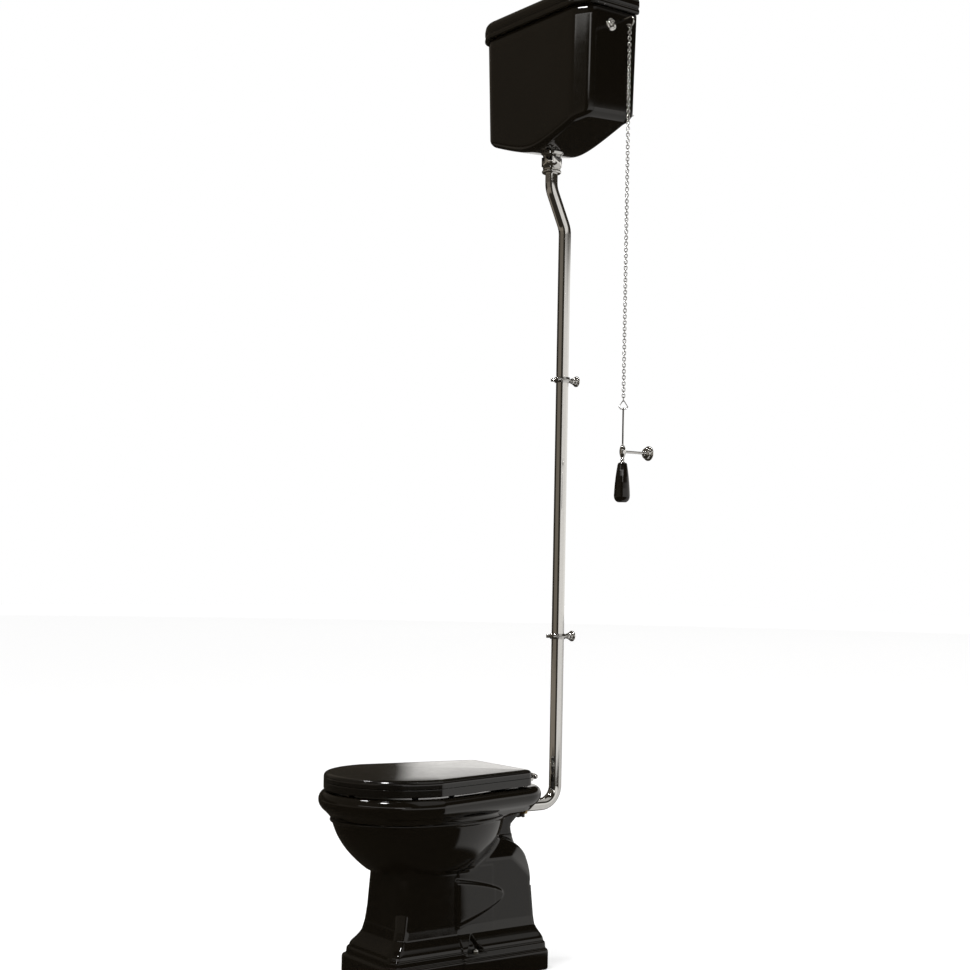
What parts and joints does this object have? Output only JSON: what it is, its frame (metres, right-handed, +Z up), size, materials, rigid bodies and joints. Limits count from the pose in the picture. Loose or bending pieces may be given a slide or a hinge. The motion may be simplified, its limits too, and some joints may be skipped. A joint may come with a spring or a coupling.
{
  "type": "high tank pull chain toilet",
  "caption": "High tank toilet in black glaze: pedestal pan with hinged seat and lid, tall chrome flush pipe, wall tank with siphon, lever, chain and drop handle.",
  "frame": {"origin": "on the floor, midway between the two floor screw holes of the pan", "axes": "+Z up; +Y from the front towards the wall; +X to the right when facing the wall"},
  "size_m": [0.5205, 0.679, 2.295],
  "materials": {
    "glaze": "gloss",
    "seat": "gloss",
    "chrome": "polished",
    "brass": "machined",
    "rubber": "matt",
    "plastic": "matt"
  },
  "bodies": {
    "base": {"pan": "glaze", "hinge_posts": "chrome", "hinge_rod": "chrome", "hinge_washers": "rubber", "hinge_nuts": "brass", "horn_seal": "rubber", "flush_pipe": "chrome", "clip_rings": "chrome", "clip_stems": "chrome", "clip_rosettes": "chrome", "coupling_nut": "chrome", "coupling_ring": "chrome", "outlet_backnut": "chrome", "outlet_washer": "rubber", "cistern": "glaze", "siphon_body": "plastic", "lever_boss": "chrome", "lever_nut": "brass", "lever_pin": "brass", "guide_bead": "chrome", "guide_stem": "chrome", "guide_rosette": "chrome", "valve_tail": "brass", "valve_backnut": "brass", "valve_washer": "rubber", "valve_body": "brass", "valve_pin": "brass"},
    "seat": {"ring_seat": "seat", "ring_buffers": "rubber", "ring_knuckles": "chrome"},
    "lid": {"seat_cover": "seat", "cover_buffers": "rubber", "cover_knuckles": "chrome"},
    "tank_lid": {"cistern_lid": "glaze"},
    "lever": {"flush_lever": "chrome"},
    "lift": {"siphon_rod": "brass", "siphon_plunger": "plastic", "siphon_flap": "rubber", "siphon_link": "brass"},
    "pull": {"chain_eye": "chrome", "chain": "chrome", "drop_ring": "chrome", "pull_bail": "chrome", "pull_rod": "chrome", "handle_eye": "chrome", "pull_handle": "glaze"},
    "float": {"float_arm": "brass", "float_ball": "plastic"},
    "piston": {"valve_piston": "brass"}
  },
  "joints": [
    {"name": "seat_hinge", "type": "hinge", "parent": "base", "child": "seat", "pos_m": [0, 0.166, 0.4445], "axis": [-1, 0, 0], "range_deg": [0, 95]},
    {"name": "lid_hinge", "type": "hinge", "parent": "seat", "child": "lid", "pos_m": [0, 0.166, 0.4445], "axis": [1, 0, 0], "range_deg": [-100, 0]},
    {"name": "tank_lid_lift", "type": "slide", "parent": "base", "child": "tank_lid", "axis": [0, 0, 1], "range_m": [0, 0.15]},
    {"name": "pull_slide", "type": "slide", "parent": "base", "child": "pull", "axis": [0, 0, -1], "range_m": [0, 0.018]},
    {"name": "lever_hinge", "type": "hinge", "parent": "base", "child": "lever", "pos_m": [0.197, 0.27, 2.202], "axis": [0, 1, 0], "range_deg": [0, 15]},
    {"name": "siphon_lift", "type": "slide", "parent": "base", "child": "lift", "axis": [0, 0, 1], "range_m": [0, 0.033]},
    {"name": "float_swing", "type": "hinge", "parent": "base", "child": "float", "pos_m": [-0.1466, 0.272, 2.186], "axis": [0, 1, 0], "range_deg": [0, 35]},
    {"name": "piston_slide", "type": "slide", "parent": "base", "child": "piston", "axis": [1, 0, 0], "range_m": [0, 0.003]}
  ],
  "couplings": [
    {"joint": "lever_hinge", "follows": "pull_slide", "rad_per_m": 14.42},
    {"joint": "siphon_lift", "follows": "pull_slide", "ratio": 1.783},
    {"joint": "piston_slide", "follows": "float_swing", "m_per_rad": 0.0049}
  ]
}
